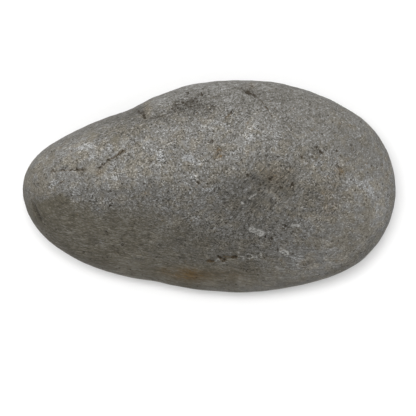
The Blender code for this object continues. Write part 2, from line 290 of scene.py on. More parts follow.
# Soft areas: the middle and the two radii in mm, the turn of the first radius from +X, and the
# strength. The finish reads each layer by its name.
AREAS = {
    "patina_and_shade": (
        # Along the south rim: patina, painted darker as shade
        ((4.9, -22.5), (22.0, 3.5), -2, 0.35),
        ((30.0, -20.0), (12.0, 3.0), 30, 0.25),
        ((0.0, -22.0), (15.0, 3.0), -3, 0.3),
        ((-28.4, 12.8), (1.3, 0.9), 10, 0.8),
        ((-22.8, 11.4), (1.1, 1.1), 0, 0.9),
        ((-28.4, 3.9), (1.1, 1.1), 0, 0.4),
    ),
    "dirt_and_shade": (
        # Dark patches in the trough, the notch, the dish and by cracks: dirt and painted shade
        ((-5.4, 20.3), (5.0, 2.0), 24, 0.3),
        ((-1.8, 19.4), (2.6, 0.9), 10, 0.22),
        ((0.4, 18.8), (1.7, 1.3), 30, 0.26),
        ((9.6, 22.8), (1.8, 0.6), -22, 0.26),
        ((-18.0, 17.6), (3.2, 1.4), 22, 0.24),
        ((-12.5, 17.0), (3.5, 1.0), 10, 0.18),
        ((10.4, 22.0), (2.6, 1.2), -42, 0.36),
        ((13.5, 0.5), (6.0, 4.0), 10, 0.15),
        ((16.5, -12.0), (3.6, 2.2), -25, 0.27),
        ((9.0, -19.8), (3.6, 0.9), 0, 0.22),
        ((26.5, 9.2), (2.6, 1.4), 0, 0.22),
    ),
    "polish": (
        ((30.0, 14.0), (15.0, 7.0), -35, 0.95),
        ((40.0, 0.0), (6.0, 16.0), 0, 0.75),
        ((8.0, 24.0), (22.0, 4.0), 0, 0.55),
        ((30.0, -13.0), (12.0, 8.0), 30, 0.85),
        ((-34.0, 5.0), (11.0, 6.0), 0, 0.5),
        ((-28.0, 15.0), (14.0, 2.2), 26, 0.5),
        ((-40.0, -6.0), (5.0, 6.0), 0, 0.7),
        ((-42.5, 1.0), (3.0, 5.0), 0, 0.6),
        ((4.0, -22.5), (30.0, 3.5), 0, 0.45),
        ((-28.4, 3.9), (1.2, 1.2), 0, 1.4),
        ((-22.8, 11.4), (1.2, 1.2), 0, 1.4),
        ((-28.4, 12.8), (1.4, 1.0), 10, 1.2),
        ((-28.7, 9.8), (1.3, 0.9), 15, 0.8),
        ((-5.4, 20.0), (6.0, 2.4), 24, -0.3),
        ((-2.0, -12.0), (10.0, 5.0), 0, -0.25),
    ),
    "rim": (
        ((12.0, -22.0), (24.0, 4.5), 4, -0.45),
        ((2.0, 25.0), (26.0, 4.5), 0, -0.4),
    ),
    "scored": (
        ((14.0, -2.0), (9.0, 8.0), 0, 1.0),
        ((1.0, -9.0), (12.0, 5.0), 0, 0.4),
    ),
    "warm": (
        ((-30.0, 8.0), (12.0, 7.0), 0, 0.35),
        ((-17.0, 6.0), (4.0, 6.0), 0, 0.35),
        ((-15.0, 18.8), (1.4, 1.9), 0, 1.8),
        ((4.0, 22.5), (26.0, 4.5), 0, -0.9),
        ((24.0, 15.0), (12.0, 6.0), -32, -0.35),
        ((-28.0, 15.0), (14.0, 2.2), 26, -0.7),
        ((40.0, -3.0), (6.0, 9.0), 0, 0.25),
        ((15.5, 1.8), (4.5, 3.0), 10, 0.9),
        ((9.0, 0.0), (3.0, 3.0), 0, -0.6),
        ((17.0, -11.5), (4.0, 3.0), 0, -0.5),
        ((15.5, -8.0), (3.0, 2.0), 0, -0.4),
        ((-44.0, 0.0), (5.0, 6.0), 0, 0.5),
        ((13.0, -3.0), (10.0, 7.0), 0, 0.2),
        ((30.0, -11.0), (9.0, 8.0), 20, 0.5),
        ((34.0, -17.0), (10.0, 4.0), 35, 0.4),
        ((23.0, 3.0), (6.0, 5.0), 0, 0.4),
        ((3.0, -20.0), (12.0, 3.0), 0, 0.5),
    ),
    "rust": (
        ((-5.0, -21.2), (3.8, 1.4), -4, 1.1),
        ((-4.2, -21.4), (1.8, 1.0), -8, 0.7),
        ((3.5, -21.2), (3.6, 1.0), 0, 0.25),
        ((-10.8, -20.3), (1.8, 0.8), -8, 0.5),
        ((0.5, -21.3), (5.0, 1.6), 0, 0.14),
        ((7.5, -21.0), (3.0, 1.6), 0, 0.12),
        ((29.0, -4.8), (2.2, 2.6), -20, 0.32),
        ((29.3, 0.5), (1.8, 1.8), 0, 0.12),
        ((15.6, 2.9), (2.6, 1.5), -10, 0.36),
        ((31.6, 4.0), (1.4, 1.4), 40, 0.25),
        ((2.2, 8.0), (1.3, 1.3), 0, 0.3),
        ((-26.5, 3.8), (0.9, 0.9), 0, 0.3),
        ((23.5, -18.6), (1.4, 0.8), 0, 0.2),
        ((-9.0, 12.3), (1.6, 1.0), 0, 0.12),
        ((-15.0, 18.6), (1.2, 1.6), 0, 0.16),
        ((-20.7, 1.9), (1.4, 0.8), 0, 0.12),
    ),
    "chalk": (
        ((-37.5, 0.9), (1.3, 0.9), 20, 0.7),
        ((-28.7, 9.8), (1.3, 0.9), 15, 0.5),
        ((-30.6, 9.7), (1.6, 0.8), 20, 0.55),
        ((-28.0, 7.2), (1.1, 0.8), 10, 0.5),
        ((-24.0, 9.8), (1.0, 0.8), 0, 0.4),
        ((-22.8, 2.1), (1.0, 0.9), 0, 0.8),
        ((-23.5, 3.8), (0.8, 0.6), 0, 0.4),
        ((-32.3, -0.5), (1.2, 0.8), 0, 0.2),
        ((-24.5, -3.3), (1.4, 0.7), 0, 0.3),
        ((-11.9, 7.0), (1.2, 1.8), 0, 0.7),
        ((-5.4, 7.1), (1.0, 0.8), 0, 1.1),
        ((-4.0, 6.4), (1.1, 0.7), -20, 1.0),
        ((-2.3, 6.0), (0.5, 0.5), 0, 0.6),
        ((-4.0, 2.6), (0.9, 0.6), 0, 0.4),
        ((8.8, 13.4), (2.4, 0.5), 40, 0.4),
        ((16.2, 11.0), (0.5, 3.0), 0, 0.35),
        ((-11.0, 13.3), (1.0, 0.6), 0, 0.35),
        ((11.4, 14.4), (0.9, 0.6), 0, 0.35),
        ((3.8, 15.1), (1.6, 0.5), 10, 0.35),
        ((9.7, 12.2), (0.9, 0.8), 0, 0.5),
        ((0.6, 3.7), (1.4, 1.0), 0, 0.25),
        ((-0.6, -0.6), (1.5, 0.8), 0, 0.4),
        ((35.6, 1.6), (1.0, 0.9), 0, 0.25),
        ((37.2, 0.7), (1.6, 0.9), -40, 0.3),
        ((38.8, -1.1), (1.7, 1.0), -35, 0.4),
        ((40.4, -5.0), (0.4, 0.9), 0, 1.1),
        ((26.0, 5.4), (0.5, 0.4), 0, 0.5),
        ((31.6, 16.6), (0.7, 0.4), 0, 0.35),
        ((36.3, 12.4), (0.8, 0.5), 0, 0.25),
        ((-26.0, -13.3), (1.2, 0.7), 0, 0.3),
        ((-9.8, -4.6), (1.0, 0.8), 0, 0.3),
        ((-4.0, -7.8), (1.4, 0.9), 0, 0.2),
        ((17.6, -12.6), (0.7, 0.4), 0, 0.35),
        ((20.8, -17.6), (2.0, 1.1), -40, 0.45),
        ((29.6, -2.1), (1.1, 0.5), 0, 0.3),
        ((-26.8, -5.2), (1.3, 0.6), -10, 0.35),
        ((-32.6, -3.3), (1.5, 0.6), 5, 0.3),
        ((-10.8, -9.4), (1.4, 0.7), 20, 0.3),
        ((-16.8, -17.4), (1.8, 0.6), -15, 0.25),
        ((-34.0, -0.2), (1.6, 0.8), 0, 0.25),
    ),
    "tone": (
        # The dish and the south flank are painted darker: painted shade where they turn from the
        # light
        ((13.4, 0.0), (9.5, 5.5), 6, -0.36),
        ((8.4, -6.5), (5.0, 4.0), 0, -0.2),
        ((-2.0, -14.0), (14.0, 5.5), 0, -0.09),
        ((5.4, -19.5), (6.0, 3.0), 0, -0.14),
        ((-5.6, 20.3), (5.0, 1.9), 24, -0.29),
        ((-1.8, 19.4), (2.8, 1.0), 10, -0.16),
        ((0.4, 18.8), (1.9, 1.4), 30, -0.12),
        # The south and east rim are painted lighter: painted light, standing in for light thrown up
        # from the floor
        ((2.0, -22.8), (32.0, 4.0), 0, 0.05),
        ((41.5, -5.0), (5.0, 14.0), 0, 0.06),
        ((31.0, -18.0), (9.0, 4.5), 38, 0.04),
        ((39.8, -10.5), (6.0, 2.0), 52, 0.11),
        ((31.0, -17.4), (6.5, 1.9), 33, 0.16),
        ((21.5, -21.6), (6.0, 1.6), 17, 0.09),
        ((8.0, -24.0), (10.0, 1.5), 3, 0.14),
        ((43.6, 0.0), (1.6, 5.0), 0, 0.12),
        ((36.0, 15.4), (6.0, 1.4), -45, 0.1),
        ((0.0, 24.0), (3.0, 1.2), 0, 0.13),
        ((-14.0, -17.0), (16.0, 4.0), -12, 0.05),
        ((0.0, -3.0), (20.0, 8.0), 0, -0.02),
        ((-18.5, 17.6), (3.8, 1.8), 22, -0.3),
        ((-9.0, 17.3), (6.0, 1.3), 24, -0.12),
        ((-26.0, 16.0), (14.0, 2.0), 27, -0.16),
        ((9.0, 21.5), (14.0, 3.0), 0, -0.1),
        ((10.7, 22.4), (2.8, 1.1), -42, -0.22),
        ((27.0, 9.5), (4.0, 2.5), 0, -0.1),
        ((-24.0, 2.5), (10.0, 4.0), -6, 0.2),
        ((-36.0, 6.0), (4.0, 3.5), 25, 0.07),
        ((-21.0, 14.4), (6.0, 2.0), 25, -0.11),
        ((-1.0, 17.3), (2.5, 1.8), 0, -0.08),
        ((-13.0, -2.0), (2.5, 2.2), 0, -0.07),
        ((-7.0, -3.4), (2.0, 2.0), 0, -0.06),
        ((9.5, -4.4), (2.4, 2.0), 0, -0.09),
        ((26.8, -2.0), (3.0, 2.0), 0, -0.09),
        ((33.0, 12.2), (3.0, 4.0), -30, -0.07),
        ((19.0, -7.5), (3.0, 3.0), 0, -0.05),
        ((-28.8, 2.2), (2.4, 1.8), 0, 0.06),
        ((-28.4, 3.9), (1.1, 1.1), 0, 0.1),
        ((-15.0, 18.6), (1.2, 1.6), 0, 0.1),
        ((-14.0, 9.0), (6.0, 2.4), 0, 0.06),
        ((0.0, -0.7), (4.0, 2.0), 0, 0.09),
        ((12.6, -0.4), (2.6, 2.2), 0, 0.09),
        ((33.0, 1.6), (4.0, 1.6), 0, 0.07),
        ((41.0, -11.6), (2.0, 2.4), 20, 0.1),
        ((-15.6, -18.2), (2.6, 2.0), 0, 0.08),
        # painted light along the south rim
        ((15.0, -24.4), (12.0, 1.2), 3, 0.1),
        ((19.6, -16.4), (2.0, 1.6), 0, 0.07),
        ((-9.6, 21.0), (1.6, 2.0), 0, 0.07),
        ((-24.0, 8.6), (9.0, 3.0), -4, 0.08),
        ((-12.5, -2.2), (3.0, 2.5), 0, -0.08),
        ((-5.4, -5.5), (3.0, 2.5), 0, -0.08),
        ((17.7, -12.8), (3.0, 3.0), 0, -0.12),
        ((27.0, -4.0), (4.0, 5.0), 0, -0.13),
        ((-3.3, 18.2), (4.5, 2.4), 12, -0.22),
        ((-16.5, 16.2), (4.0, 2.0), 25, -0.1),
        ((9.8, 6.5), (3.0, 2.5), 0, -0.09),
        ((31.5, 5.5), (3.0, 2.5), 0, 0.08),
        ((-28.6, 10.0), (2.8, 2.2), 10, 0.1),
        ((24.7, 16.2), (4.0, 3.0), -25, -0.07),
        # more painted light on the south-east and south rim
        ((34.5, -17.5), (10.0, 4.0), 38, 0.22),
        ((22.0, -20.5), (10.0, 3.0), 10, 0.22),
        ((-16.8, -17.6), (3.0, 3.0), -20, 0.1),
        ((12.7, 11.3), (4.0, 3.0), 0, 0.12),
        ((2.5, 16.0), (4.5, 2.2), 0, 0.08),
        ((36.0, 1.5), (4.6, 3.6), -20, 0.2),
        ((37.6, 0.2), (2.6, 1.2), -38, 0.08),
        # painted light on the east end and the south rim
        ((43.0, -8.0), (3.5, 6.0), 15, 0.35),
        ((40.0, 4.0), (4.0, 8.0), 0, 0.06),
        ((-3.0, -24.0), (16.0, 2.0), -2, 0.12),
        ((-36.5, -3.6), (4.0, 2.0), 0, -0.1),
        ((2.5, 6.3), (2.4, 2.4), 0, -0.07),
        ((12.0, -9.0), (5.0, 4.0), 0, -0.06),
        # painted light on the south-east flank
        ((20.0, -17.0), (4.0, 3.0), -20, 0.12),
        ((31.0, -12.0), (9.0, 5.0), 20, 0.1),
        ((25.0, 15.0), (12.0, 6.0), -32, -0.03),
        ((4.0, 12.0), (14.0, 5.0), 0, -0.02),
        ((-31.0, 11.5), (7.0, 2.5), 20, 0.05),
        ((-37.5, 2.5), (4.5, 3.0), 0, 0.07),
        ((-16.0, -14.5), (4.0, 3.5), 0, 0.05),
        ((-21.5, 0.4), (3.0, 1.8), 0, 0.06),
        ((-24.8, 3.0), (2.0, 2.0), 0, -0.06),
        ((-13.3, 15.6), (3.2, 1.6), 15, -0.07),
    ),
}

# Marks belong to the side that the picture shows, and fade as the stone turns under
MARKS_AT_RIM = 0.6
MARKS_FADE = 4
AREAS_UNDER_RIM = 0.35  # soft areas fade to no less than this
WAVER_MM = 1.1  # the size of the unevenness in the marks' edges

# The worn skin of the south-west flank, which is patina and painted shade, ends along this line, in
# mm
PATINA_AND_SHADE_SHORE = (
    (-48.0, -3.6), (-40.5, -3.3), (-38.5, -2.2), (-36.3, -1.7), (-34.4, -2.7), (-32.5, -4.0),
    (-28.8, -4.7), (-26.5, -5.6), (-23.0, -5.2), (-20.0, -5.2), (-14.4, -5.6), (-8.0, -7.4),
    (0.0, -10.0), (8.0, -13.0), (20.0, -19.0), (40.0, -30.0),
)
SHORE_SOFTENS_MM = (-36.0, -18.0)  # along X
SHORE_SOFTNESS_MM = (0.7, 2.0)
SHORE_WAVERS_MM = 0.7
SHORE_WANDERS_MM = (0.8, 2.6)
WANDER_SIZE_MM = (3.5, 4.0)  # along X and Y
PATINA_AND_SHADE_FADES_MM = (-20.0, 8.0)  # along X, from a full skin to a thin one
THIN_PATINA_AND_SHADE = 0.3

# Pits of the river's wear, all over the stone
WEAR_PITS = 260
WEAR_PIT_RADIUS_MM = (0.18, 0.5)
WEAR_PIT_DEPTH_MM = (0.03, 0.14)
WEAR_SEED = 11
DARKEST_FROM_MM = 0.2  # pits this deep are as dark, with dirt and painted shade, as wear pits get
WEAR_PIT_DIRT_AND_SHADE = 0.5

DEEPEST = 0.5 * MM  # the depth that a full weight of the carving stands for

LAYERS = (
    "dirt_and_shade", "rust", "bruise", "patina_and_shade", "chalk", "tone", "warm", "polish", "rim", "scored",
    "line_off", "line_half", "line_dirt_and_shade", "line_rust", "line_bruise",
)

# Streaks round the rim: the ring that they're drawn out on, and the fall from top to bottom
RIM_RING_MM = 18.0
RIM_FALL_MM = 32.0
STREAKS_ALONG = (0.62, 1, 1)  # a smaller first number lays the streaks more along the stone
STREAKS_START = 0.62  # how level a direction is where the streaks start
STREAKS_GROW = 0.33  # and how much more level it is where they are full
BLUNT_END = (10 * MM, 30 * MM)  # along X, where the streaks grow faint
BLUNT_END_STREAKS = 0.6
UNDER_RIM_MM = (42.0, 54.0)  # down the fall, where the grain grows fainter
UNDER_RIM_POLISH = 0.9

# The sandstone's patterns, for each mm
COARSE_GRAINS = 2.3
FINE_GRAINS = 4.0
DASHES = 3.0
SCORES = 2.0
SPECKS = 0.75
CLUMPS = 0.9
BLOTCHES = 0.65
MOTTLES = 0.22
BROAD_MOTTLES = 0.07
WARM_CLOUDS = 0.42
RUST_CLOUDS = 1.2
BROAD_STREAKS = 0.8
FINE_STREAKS = 3.2
LINE_WAVERS = 1.4
LINE_GAPS = 1.1
SCORED_TURN = math.radians(50)
SCORED_STRETCH = (1.9, 0.6, 0.6)  # mm along, across and down for one unit of the scores

# How much of a pattern or a layer there is where it is full
SKIN_RAGGED = 0.3  # the worn skin's grainy edge
RIM_STREAKY = 0.9
DASHED = 0.75
SCORED = 0.6
SCORES_CALM = 0.5  # the last three are how much of the grain's contrast is lost
SKIN_CALMS = 0.42
POLISH_CALMS = 0.4

# How light grains are, from the darkest to the lightest of them
COARSE_TONES = ((0, 0.6), (0.08, 0.82), (0.2, 0.95), (0.8, 1.03), (0.93, 1.1), (1, 1.42))
FINE_TONES = ((0, 0.30), (0.2, 0.73), (0.5, 1.0), (0.8, 1.24), (1, 1.88))

DARK_GRAIN = (0.1710, 0.1600, 0.1380, 1)
LIGHT_GRAIN = (0.1605, 0.1600, 0.1560, 1)
WARM_GRAIN = (0.1750, 0.1600, 0.1310, 1)
# the worn skin's colour: a brown patina, darker still as painted shade on the south flank
PATINA_AND_SHADE = (0.1265, 0.1130, 0.0825, 1)
# the dark of dirt and of painted shade in cracks, pits and hollows
DIRT_AND_SHADE = (0.031, 0.0235, 0.0145, 1)
RUST = (0.120, 0.076, 0.029)  # tinted with the stone's own tone, so it has no fourth number
BRUISE = (0.500, 0.495, 0.470, 1)
CHALK = (0.1580, 0.1600, 0.1590, 1)

STONE_ROUGHNESS = 0.86
STONE_SPECULAR = 0.35
BUMP_DEPTH = 0.05 * MM
BUMP_STRENGTH = 0.7

# The studio
FLOOR_SIDE = 1.2
PALE_FLOOR = (0.85, 0.85, 0.85, 1)
FLOOR_ROUGHNESS = 0.9
FLOOR_SPECULAR = 0.2
# Each light's azimuth off +X and elevation in degrees, how far away it is, its width and depth,
# and its power
LIGHTS = {
    "key_softbox": (97, 65, 0.8, 0.6, 0.6, 8.6),
    "floor_softbox": (121, 83.5, 0.8, 0.25, 0.17, 4.1),
    "floor_ceiling": (90, 90, 0.8, 3.0, 3.0, 22.3),
}
ROOM_LIGHT = 0.12  # the white room's light on the stone
ROOM_SHOWN = 0.85  # and how much more of it the camera sees


# Modelling

def pick(piece):
    bpy.ops.object.select_all(action="DESELECT")
    piece.select_set(True)
    bpy.context.view_layer.objects.active = piece


def modify(piece, kind, **settings):
    """Adds a modifier and applies it."""
    pick(piece)
    modifier = piece.modifiers.new(kind.title(), kind)
    for name, value in settings.items():
        setattr(modifier, name, value)
    bpy.ops.object.modifier_apply(modifier=modifier.name)


def of_each_vertex(piece, name):
    """What each vertex has under this name, as rows of three."""
    flat = np.empty(len(piece.data.vertices) * 3, np.float32)
    piece.data.vertices.foreach_get(name, flat)
    return flat.reshape(-1, 3).astype(float)


def places(piece):
    return of_each_vertex(piece, "co")


def facings(piece):
    return of_each_vertex(piece, "normal")


def move(piece, points):
    piece.data.vertices.foreach_set("co", points.astype(np.float32).ravel())
    piece.data.update()


def smooth_guide():
    """The CAD stone made smooth: the skin is wrapped onto it, and then it goes."""
    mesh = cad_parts["pebble"].data.copy()
    guide = bpy.data.objects.new("guide", mesh)
    bpy.context.scene.collection.objects.link(guide)
    pick(guide)
    bpy.ops.object.mode_set(mode="EDIT")
    bpy.ops.mesh.select_all(action="SELECT")
    bpy.ops.mesh.remove_doubles(threshold=GUIDE_MERGED_MM * MM)
    bpy.ops.mesh.tris_convert_to_quads()
    bpy.ops.object.mode_set(mode="OBJECT")
    modify(guide, "SUBSURF", levels=GUIDE_REFINED, render_levels=GUIDE_REFINED)
    return guide


def on_ball(points, low, high):
    """The points with their box made a cube, brought onto a ball of radius 1."""
    ball = (points - (low + high) / 2) / (high - low) * 2
    return ball / np.linalg.norm(ball, axis=1)[:, None]


def level(ball):
    """How level each direction of the ball is: 1 at the girdle and 0 at the poles."""
    return np.hypot(ball[:, 0], ball[:, 1])


def even_ball(low, high):
    """A cube cut into cells that subtend even angles, puffed to a ball and stretched to the box."""
    bpy.ops.mesh.primitive_cube_add(size=2, location=(0, 0, 0))
    ball = bpy.context.object
    bpy.ops.object.mode_set(mode="EDIT")
    for axis, cells in enumerate(BALL_CELLS):
        across = Vector((0, 0, 0))
        across[axis] = 1
        for cut in range(1, cells):
            bpy.ops.mesh.select_all(action="SELECT")
            turn = (cut / cells - 0.5) * math.pi / 2
            bpy.ops.mesh.bisect(plane_co=across * math.tan(turn), plane_no=across)
    bpy.ops.mesh.select_all(action="SELECT")
    bpy.ops.transform.tosphere(value=1)
    bpy.ops.object.mode_set(mode="OBJECT")
    modify(ball, "SUBSURF", levels=REFINED, render_levels=REFINED)
    points = places(ball)
    points = points / np.linalg.norm(points, axis=1)[:, None]
    move(ball, points * ((high - low) / 2) + (low + high) / 2)
    return ball


def refine_crown(skin):
    pick(skin)
    bpy.ops.object.mode_set(mode="EDIT")
    bpy.ops.mesh.select_mode(type="FACE")
    bpy.ops.mesh.select_all(action="DESELECT")
    bpy.ops.object.mode_set(mode="OBJECT")
    for face in skin.data.polygons:
        face.select = face.normal.z > CROWN_FACES_UP
    bpy.ops.object.mode_set(mode="EDIT")
    bpy.ops.mesh.subdivide(number_cuts=1)
    bpy.ops.object.mode_set(mode="OBJECT")


def wrapped_skin(low, high):
    """The ball wrapped onto the CAD stone, with finer faces on the crown."""
    guide = smooth_guide()
    skin = even_ball(low, high)
    skin.name = skin.data.name = "pebble_skin"
    modify(skin, "SHRINKWRAP", target=guide)
    refine_crown(skin)
    modify(skin, "SHRINKWRAP", target=guide)
    bpy.data.objects.remove(guide, do_unlink=True)
    return skin


def swell_the_rim(points, ball):
    turns = np.degrees(np.arctan2(points[:, 1], points[:, 0]))
    out = np.zeros(len(points))
    for turn, swell, spread in RIM_SWELLS:
        apart = (turns - turn + 180) % 360 - 180
        out += swell * MM * np.exp(-((apart / spread) ** 2))
    out *= np.clip((level(ball) - RIM_STARTS) / (1 - RIM_STARTS), 0, 1)
    from_middle = np.linalg.norm(points[:, :2], axis=1)[:, None]
    points[:, :2] *= 1 + out[:, None] / np.maximum(from_middle, MM)


# Marks

def as_seen(points):
    """Where the picture shows each point, in the mm that marks are placed in."""
    zoom = PICTURE_SIDE_PX * LENS / SENSOR / (CAMERA_AT.z - points[:, 2])
    across = PICTURE_SIDE_PX / 2 + (points[:, 0] - CAMERA_AT.x) * zoom
    down = PICTURE_SIDE_PX / 2 - (points[:, 1] - CAMERA_AT.y) * zoom
    return np.column_stack([across - MARKS_FROM_PX[0], MARKS_FROM_PX[1] - down]) / MARKS_PX_PER_MM


def from_path(seen, path):
    """Each point's distance from the path, in mm, less than nothing on its right, and how far
    along the path it is, 0 to 1."""
    path = np.array(path)
    legs = np.diff(path, axis=0)
    lengths = np.hypot(legs[:, 0], legs[:, 1])
    starts = np.concatenate([[0], np.cumsum(lengths)])
    nearest = np.full(len(seen), np.inf)
    along = np.zeros(len(seen))
    for leg, length, first, start in zip(legs, lengths, path, starts):
        share = np.clip((seen - first) @ leg / length**2, 0, 1)
        off = seen - first - share[:, None] * leg
        away = np.hypot(off[:, 0], off[:, 1]) * np.where(off @ (-leg[1], leg[0]) < 0, -1, 1)
        closer = np.abs(away) < np.abs(nearest)
        along = np.where(closer, start + share * length, along)
        nearest = np.where(closer, away, nearest)
    return nearest, along / starts[-1]


def rippled(points, size_mm, seed):
    """Smooth noise of about this size at each point, from -1 to 1."""
    shift = Vector((seed, seed * 1.7, seed * 0.6))
    scale = 1 / (size_mm * MM)
    return np.array([noise.noise(Vector(point) * scale + shift) for point in points])


def soft_area(seen, middle, radii, turn):
    away = seen - np.array(middle)
    angle = math.radians(turn)
    along = away @ (math.cos(angle), math.sin(angle)) / radii[0]
    across = away @ (-math.sin(angle), math.cos(angle)) / radii[1]
    return np.exp(-(along**2) - across**2)


def worn_and_shaded_skin(seen):
    """How much of the worn skin, which is patina and painted shade, each point has: it thins out to
    the east.
    """
    shore = np.array(PATINA_AND_SHADE_SHORE)
    away, _along = from_path(seen, PATINA_AND_SHADE_SHORE)
    north = seen[:, 1] > np.interp(seen[:, 0], shore[:, 0], shore[:, 1])
    signed = np.where(north, -1, 1) * np.abs(away)
    thinned = np.interp(seen[:, 0], PATINA_AND_SHADE_FADES_MM, (1, THIN_PATINA_AND_SHADE))
    softness = np.interp(seen[:, 0], SHORE_SOFTENS_MM, SHORE_SOFTNESS_MM)
    return thinned / (1 + np.exp(-2 * signed / softness))


def lay_strokes(seen, upper, layers, carved):
    """Adds the strokes to the carving, and gives each point the layers of its nearest stroke."""
    nearest = np.full(len(seen), LINE_REACH_MM)
    for _name, path, width, depth, *holds in STROKES:
        away, along = from_path(seen, path)
        taper = np.clip(np.minimum(along, 1 - along) * ENDS_IN_STROKE, 0, 1) * upper
        carved += depth * MM * taper * np.exp(-((away / (width + LINE_SPREAD_MM)) ** 2))
        closer = np.abs(away) < nearest
        nearest = np.where(closer, np.abs(away), nearest)
        layers["line_off"] = np.where(closer, away, layers["line_off"])
        layers["line_half"] = np.where(closer, width * taper, layers["line_half"])
        for name, amount in zip(STROKE_HOLDS, holds):
            layers[name] = np.where(closer, amount * taper, layers[name])


def lay_marks(points, normals):
    """The layers that the finish reads, and how deep the stone is carved, in metres."""
    seen = as_seen(points)
    upper = np.clip(normals[:, 2] * MARKS_FADE + MARKS_AT_RIM, 0, 1)
    waver = rippled(points, WAVER_MM, seed=5)
    layers = {name: np.zeros(len(points)) for name in LAYERS}
    carved = np.zeros(len(points))
    lay_strokes(seen, upper, layers, carved)
    for place, radius, depth, *holds in PITS:
        away = np.linalg.norm(seen - np.array(place), axis=1)
        spot = np.exp(-((away / (radius * (1 + PIT_UNEVEN * waver))) ** 2)) * upper
        carved += depth * MM * spot
        for name, amount in zip(PIT_HOLDS, holds):
            layers[name] = np.maximum(layers[name], amount * spot)
    shown = np.maximum(upper, AREAS_UNDER_RIM)
    for name, areas in AREAS.items():
        for middle, radii, turn, strength in areas:
            layers[name] += strength * soft_area(seen, middle, radii, turn) * shown
    wander = np.column_stack([
        rippled(points, WANDER_SIZE_MM[0], seed=9),
        rippled(points, WANDER_SIZE_MM[1], seed=2),
    ])
    wander *= np.interp(seen[:, 0], SHORE_SOFTENS_MM, SHORE_WANDERS_MM)[:, None]
    layers["patina_and_shade"] += worn_and_shaded_skin(seen + SHORE_WAVERS_MM * waver[:, None] + wander)
    return layers, carved


def round_the_rim(ball):
    """A place for each point that changes slowly along the rim and fast across it, in mm."""
    ball = ball * STREAKS_ALONG
    ball /= np.linalg.norm(ball, axis=1)[:, None]
    fall = np.arccos(np.clip(ball[:, 2], -1, 1))
    ring = ball[:, :2] / np.maximum(level(ball), 0.01)[:, None] * RIM_RING_MM
    return np.column_stack([ring, fall * RIM_FALL_MM])


def wear_pits(points):
    dice = np.random.default_rng(WEAR_SEED)
    depth = np.zeros(len(points))
    for index in dice.choice(len(points), WEAR_PITS, replace=False):
        radius = dice.uniform(*WEAR_PIT_RADIUS_MM) * MM
        deep = dice.uniform(*WEAR_PIT_DEPTH_MM) * MM
        away = np.linalg.norm(points - points[index], axis=1)
        depth += deep * np.exp(-((away / radius) ** 2))
    return depth


# The skin

def weigh(skin, name, weights):
    """Gives the skin a vertex group with these weights."""
    group = skin.vertex_groups.new(name=name)
    for index in np.nonzero(weights > LEAST_WEIGHT)[0]:
        group.add([int(index)], float(weights[index]), "REPLACE")


def clouds(name, size_mm, depth):
    texture = bpy.data.textures.new(name, "CLOUDS")
    texture.noise_scale = size_mm * MM
    texture.noise_depth = depth
    return texture


def carve(skin, points, patina_and_shade, carved):
    """Gives the skin its relief, and sinks and raises its marks."""
    off_table = np.clip((points[:, 2] / MM - TABLE_CLEAR_MM) / TABLE_FADE_MM, 0, 1)
    weigh(skin, "free", off_table)
    weigh(skin, "rough", off_table * (1 - WORN_SKIN_LOSES * np.clip(patina_and_shade, 0, 1)))
    weigh(skin, "sunk", np.clip(carved / DEEPEST, 0, 1) * off_table)
    weigh(skin, "raised", np.clip(-carved / DEEPEST, 0, 1) * off_table)
    for name, size_mm, detail, height_mm, group in RELIEF:
        modify(skin, "DISPLACE", texture=clouds(name, size_mm, detail), texture_coords="LOCAL",
               mid_level=0.5, strength=height_mm * MM, vertex_group=group)
    modify(skin, "DISPLACE", mid_level=0, strength=-DEEPEST, vertex_group="sunk")
    modify(skin, "DISPLACE", mid_level=0, strength=DEEPEST, vertex_group="raised")
    for group in list(skin.vertex_groups):
        skin.vertex_groups.remove(group)


def pebble_skin():
    low, high = (np.array(corner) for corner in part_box("pebble"))
    skin = wrapped_skin(low, high)
    points = places(skin)
    swell_the_rim(points, on_ball(points, low, high))
    move(skin, points)
    layers, carved = lay_marks(points, facings(skin))
    pitted = wear_pits(points)
    pit_dirt_and_shade = np.clip(pitted / (DARKEST_FROM_MM * MM), 0, 1) * WEAR_PIT_DIRT_AND_SHADE
    layers["dirt_and_shade"] = np.maximum(layers["dirt_and_shade"], pit_dirt_and_shade)
    carve(skin, points, layers["patina_and_shade"], carved + pitted)

    ball = on_ball(points, low, high)
    rimwise = round_the_rim(ball)
    near_rim = np.clip((level(ball) - STREAKS_START) / STREAKS_GROW, 0, 1)
    near_rim = near_rim * np.interp(points[:, 0], BLUNT_END, (1, BLUNT_END_STREAKS))
    layers["rim"] = near_rim * (1 + layers["rim"])
    layers["polish"] += np.interp(rimwise[:, 2], UNDER_RIM_MM, (0, UNDER_RIM_POLISH))
    for name, values in layers.items():
        layer = skin.data.attributes.new(name, "FLOAT", "POINT")
        layer.data.foreach_set("value", values.astype(np.float32))
    layer = skin.data.attributes.new("rimwise", "FLOAT_VECTOR", "POINT")
    layer.data.foreach_set("vector", rimwise.astype(np.float32).ravel())

    points = places(skin)
    points[:, 2] = np.maximum(points[:, 2], 0)
    move(skin, points)
    pick(skin)
    bpy.ops.object.shade_smooth()
    return skin


# Nodes

def put(tree, kind, inputs=(), **settings):
    """Adds a node. Its inputs take sockets or plain values, by name or number."""
    made = tree.nodes.new(kind)
    for name, value in settings.items():
        setattr(made, name, value)
    for name, value in dict(inputs).items():
        if isinstance(value, bpy.types.NodeSocket):
            tree.links.new(value, made.inputs[name])
        else:
            made.inputs[name].default_value = value
    return made


def calc(tree, operation, *values):
    return put(tree, "ShaderNodeMath", dict(enumerate(values)), operation=operation).outputs[0]


def product(tree, value, *factors):
    for factor in factors:
        value = calc(tree, "MULTIPLY", value, factor)
    return value


def most(tree, value, *others):
    for other in others:
        value = calc(tree, "MAXIMUM", value, other)
    return value


